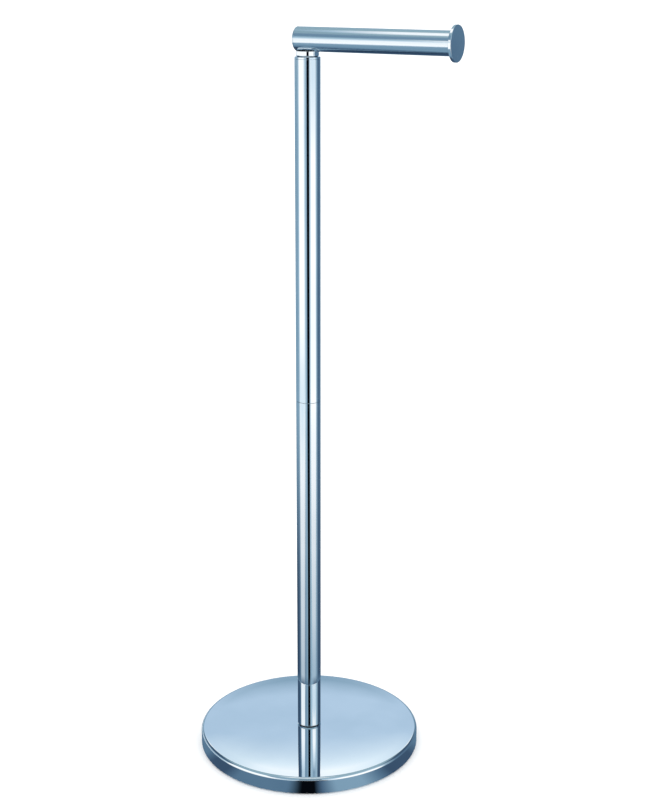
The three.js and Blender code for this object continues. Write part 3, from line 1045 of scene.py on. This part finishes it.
def azimuth_of(tree, place):
    """The azimuth of a place or a direction."""
    turned = tree.add("VectorRotate", {"Vector": place, "Angle": -CAMERA_AZIMUTH}, rotation_type="Z_AXIS")
    parts = tree.add("SeparateXYZ", {"Vector": turned.outputs["Vector"]})
    toward = tree.math("MULTIPLY", parts.outputs["Y"], -1.0)
    return tree.math("DEGREES", tree.math("ARCTAN2", parts.outputs["X"], toward))


def ring_colors(tree, azimuth, *stops):
    """A colour that changes round the ring of azimuths. Each stop is (degrees, colour)."""
    placed = [((degrees + 180) / 360, color) for degrees, color in stops]
    return tree.ramp(tree.scale(azimuth, -180, 180), *placed)


def for_mirrors(tree, usual, mirrored):
    """The mirrored shader for rays that come off a glossy surface, and the usual one for all others."""
    rays = tree.add("LightPath").outputs["Is Glossy Ray"]
    return tree.add("MixShader", {0: rays, 1: usual.outputs[0], 2: mirrored.outputs[0]}).outputs[0]


GLOW = 1.2  # strength of all that mirrors see; chrome gives back five sixths of it
DAYLIGHT = 1.3  # strength of the even light on everything else
EYE_LEVEL = (0.045, 0.055)  # sines of the elevations between which the line at eye level ends
LOW_CLOTH = (0.3, 0.42)  # between which the low cloth gives way to the walls
WALLS = (0.66, 0.78)  # between which the walls give way to the ceiling


def room_colors(tree, direction):
    """The mirrors' room: grey-blue walls, with white cloth low down to the left and to the right of the
    camera, a lighter ceiling, and a white line at eye level that the neck shows."""
    azimuth = azimuth_of(tree, direction)
    height = tree.add("SeparateXYZ", {"Vector": direction}).outputs["Z"]
    line = ring_colors(
        tree, azimuth, (-180, STEEL), (-150, WHITE), (66, WHITE), (78, SLATE), (140, SLATE), (180, STEEL)
    )
    low_cloth = ring_colors(
        tree, azimuth, (-180, STEEL), (-105, STEEL), (-90, MIST), (-75, WHITE), (-40, WHITE), (-25, MIST),
        (-10, STEEL), (10, STEEL), (25, PALE), (35, WHITE), (65, WHITE), (78, MIST), (97, SLATE),
        (108, DUSK), (120, DUSK), (135, SLATE), (180, STEEL)
    )
    walls = ring_colors(
        tree, azimuth, (-160, FOG), (-150, NAVY), (-110, NAVY), (-95, SLATE), (-30, STEEL), (15, MIST),
        (80, MIST), (100, NAVY), (150, NAVY), (160, FOG)
    )
    upper = tree.mix(tree.scale(height, *WALLS, smooth=True), walls, FOG)
    room = tree.mix(tree.scale(height, *LOW_CLOTH, smooth=True), low_cloth, upper)
    return tree.mix(tree.scale(height, *EYE_LEVEL), line, room)


def world():
    """Even white light all round, and the room for mirrors."""
    world = bpy.data.worlds.new("studio")
    bpy.context.scene.world = world
    tree = Tree(world)
    room = room_colors(tree, tree.add("TexCoord").outputs["Generated"])
    mirrored = tree.add("Background", {"Color": room, "Strength": GLOW})
    even = tree.add("Background", {"Color": WHITE, "Strength": DAYLIGHT})
    tree.add("OutputWorld", {"Surface": for_mirrors(tree, even, mirrored)})


FLOOR_REACH = 60  # to each side, which is nearly to the horizon
FLOOR_ROUGHNESS = 0.08
SHALLOW = (0.48, 0.72)  # where the floor's gloss sets in, from 0, seen square on, to 1, seen edge-on
BASE_SHADE_EDGE = (0.13, 0.15)  # distance from the column over which the painted shade round the base ends
SHADE_STRIP_MIDDLE = 1.5  # azimuth of the black strip of painted shade on the floor, from the column toward the camera
SHADE_STRIP_HALF = (10.5, 11.5)  # half the width of that strip of painted shade in degrees, where its edge starts and ends


def dark_floor(tree):
    """What mirrors see of the floor: a glow of painted light and shade, lighter on the camera's side,
    where the two front panels stand, under a gloss that shows the lights when seen at a low angle,
    a black strip of painted shade that widens toward the camera, and round the base a ring of
    painted shade."""
    place = tree.add("TexCoord").outputs["Object"]
    azimuth = azimuth_of(tree, place)
    distance = tree.add("VectorMath", {0: place}, operation="LENGTH").outputs["Value"]
    # The floor's painted light and shade round the column: lighter on the camera's side, where the two
    # front panels stand, and darker behind.
    cloth = ring_colors(
        tree, azimuth, (-180, NAVY), (-155, INK), (-130, INK), (-105, NAVY), (-90, SLATE), (-70, STEEL),
        (-50, STEEL), (-35, SLATE), (-18, STEEL), (65, STEEL), (85, SLATE), (105, NAVY), (180, NAVY)
    )
    # Painted shade round the base on the floor that mirrors see: black toward the camera, dark blue-grey
    # elsewhere.
    painted_base_shade = ring_colors(
        tree, azimuth, (-180, SLATE), (-75, SLATE), (-65, NAVY), (-52, NAVY), (-43, SLATE), (-12, SLATE),
        (-5, BLACK), (3, BLACK), (7, DUSK), (15, STEEL), (31, STEEL), (42, SLATE), (50, NAVY), (72, NAVY),
        (85, SLATE), (180, SLATE)
    )
    # A black strip of painted shade on the floor, from the column toward the camera.
    off_middle = tree.math("ABSOLUTE", tree.math("SUBTRACT", azimuth, SHADE_STRIP_MIDDLE))
    off_shade_strip = tree.scale(off_middle, *SHADE_STRIP_HALF)
    off_base_shade = tree.scale(distance, *BASE_SHADE_EDGE)
    cover = tree.mix(off_base_shade, painted_base_shade, tree.mix(off_shade_strip, BLACK, cloth))
    # The floor glows with this painted light and shade instead of being lit.
    dull = tree.add("Emission", {"Color": cover, "Strength": GLOW})
    gloss = tree.add("BsdfGlossy", {"Color": WHITE, "Roughness": FLOOR_ROUGHNESS})
    shallow = tree.scale(tree.add("LayerWeight").outputs["Facing"], *SHALLOW)
    share = tree.math("MULTIPLY", shallow, tree.math("MULTIPLY", off_base_shade, off_shade_strip))
    return tree.add("MixShader", {0: share, 1: dull.outputs[0], 2: gloss.outputs[0]})


def floor():
    """A plain pale floor. To mirrors alone it is glossy, and it glows with painted light and shade."""
    mesh = bpy.data.meshes.new("floor")
    reach = FLOOR_REACH
    corners = [(-reach, -reach, 0), (reach, -reach, 0), (reach, reach, 0), (-reach, reach, 0)]
    mesh.from_pydata(corners, [], [(0, 1, 2, 3)])
    material = bpy.data.materials.new("floor")
    tree = Tree(material)
    pale = tree.add("BsdfDiffuse", {"Color": WHITE})
    tree.add("OutputMaterial", {"Surface": for_mirrors(tree, pale, dark_floor(tree))})
    mesh.materials.append(material)
    floor = bpy.data.objects.new("floor", mesh)
    bpy.context.scene.collection.objects.link(floor)


PANEL_ROWS = 12


def panel_mesh(name, low_edge, high_edge):
    """A sheet between two edges of two points each. Its UV map runs from 0 to 1 across it and up it."""
    vertices, faces, places = [], [], []
    for row in range(PANEL_ROWS + 1):
        share = row / PANEL_ROWS
        vertices += [low.lerp(high, share) for low, high in zip(low_edge, high_edge)]
        places += [(0, share), (1, share)]
    for row in range(PANEL_ROWS):
        first = 2 * row
        faces.append((first, first + 1, first + 3, first + 2))
    mesh = bpy.data.meshes.new(name)
    mesh.from_pydata(vertices, [], faces)
    uv = mesh.uv_layers.new(name="edges")
    for corner in mesh.loops:
        uv.data[corner.index].uv = places[corner.vertex_index]
    return mesh


def panel_material(name, color, sides, ends):
    """A glowing colour that fades out over a share of the width at both sides, and over two shares of the
    height, at the lower and at the upper end."""
    material = bpy.data.materials.new(name)
    tree = Tree(material)
    parts = tree.add("SeparateXYZ", {"Vector": tree.add("TexCoord").outputs["UV"]})
    inward = tree.math("PINGPONG", parts.outputs["X"], 0.5)
    up = parts.outputs["Y"]
    down = tree.math("SUBTRACT", 1.0, up)
    fade = tree.scale(inward, 0, sides, smooth=True)
    for way, share in zip((up, down), ends):
        if share > 0:
            fade = tree.math("MULTIPLY", fade, tree.scale(way, 0, share, smooth=True))
    glow = tree.add("Emission", {"Color": color(tree, up), "Strength": GLOW})
    clear = tree.add("BsdfTransparent")
    shader = tree.add("MixShader", {0: fade, 1: clear.outputs[0], 2: glow.outputs[0]})
    tree.add("OutputMaterial", {"Surface": shader.outputs[0]})
    return material


def panel(name, low_edge, high_edge, color, sides, ends):
    """A panel that only mirrors see, between a lower and an upper edge."""
    mesh = panel_mesh(name, low_edge, high_edge)
    mesh.materials.append(panel_material(name, color, sides, ends))
    panel = bpy.data.objects.new(name, mesh)
    bpy.context.scene.collection.objects.link(panel)
    panel.visible_camera = False
    panel.visible_diffuse = False
    panel.visible_shadow = False


def standing_edge(distance, height, start, end):
    """Two points at one height, at a distance from the column and at two azimuths."""
    return [studio_direction(azimuth) * distance + Vector((0, 0, height)) for azimuth in (start, end)]


def plain(color):
    """A colour that is the same all over a panel."""
    return lambda tree, up: color


def rising(*stops):
    """A colour that changes up a panel. Each stop is (share of its height, colour)."""
    return lambda tree, up: tree.ramp(up, *stops)


FRONT_DISTANCE = 1.3  # from the column to the two white panels on the camera's side
BACK_DISTANCE = 1.5
STRIP_DISTANCE = 1.6
OVERHEAD = 1.3  # height of the panel over the arm
OVERHEAD_X = (-0.38, 0.35)  # of its rear and its front edge
OVERHEAD_Y = (-0.32, 0.2)  # of its two sides


def panels():
    """Four lights, and a black strip that the column's foot and the base reflect."""
    panel(
        "panel_left",
        standing_edge(FRONT_DISTANCE, 0, -89, -27.5),
        standing_edge(FRONT_DISTANCE, 1.3, -86, -50),
        rising((0, PALE), (0.1, WHITE), (0.53, WHITE), (0.61, PALE), (0.74, MIST), (0.92, STEEL)),
        sides=0.12,
        ends=(0, 0.15),
    )
    panel(
        "panel_right",
        standing_edge(FRONT_DISTANCE, 0, 18, 81),
        standing_edge(FRONT_DISTANCE, 1.05, 35, 65),
        rising(
            (0.38, WHITE), (0.5, PALE), (0.6, PALE), (0.63, WHITE), (0.68, WHITE), (0.73, PALE),
            (0.85, STEEL)
        ),
        sides=0.16,
        ends=(0, 0.1),
    )
    panel(
        "panel_back",
        standing_edge(BACK_DISTANCE, 0.3, 150, 210),
        standing_edge(BACK_DISTANCE, 1.05, 150, 210),
        rising((0.3, STEEL), (0.46, SKY), (0.6, SKY), (0.76, PALE), (0.9, WHITE)),
        sides=0.1,
        ends=(0, 0.04),
    )
    panel(
        "panel_slot",
        standing_edge(STRIP_DISTANCE, 0.64, -11, 13),
        standing_edge(STRIP_DISTANCE, 1.14, -11, 13),
        plain(BLACK),
        sides=0.05,
        ends=(0.02, 0.02),
    )
    rear_edge, front_edge = [[Vector((x, y, OVERHEAD)) for y in OVERHEAD_Y] for x in OVERHEAD_X]
    panel(
        "panel_overhead",
        rear_edge,
        front_edge,
        rising((0.03, FOG), (0.1, MIST), (0.22, WHITE)),
        sides=0.3,
        ends=(0.02, 0.1),
    )


world()
floor()
panels()

bpy.context.scene.view_settings.view_transform = "Standard"
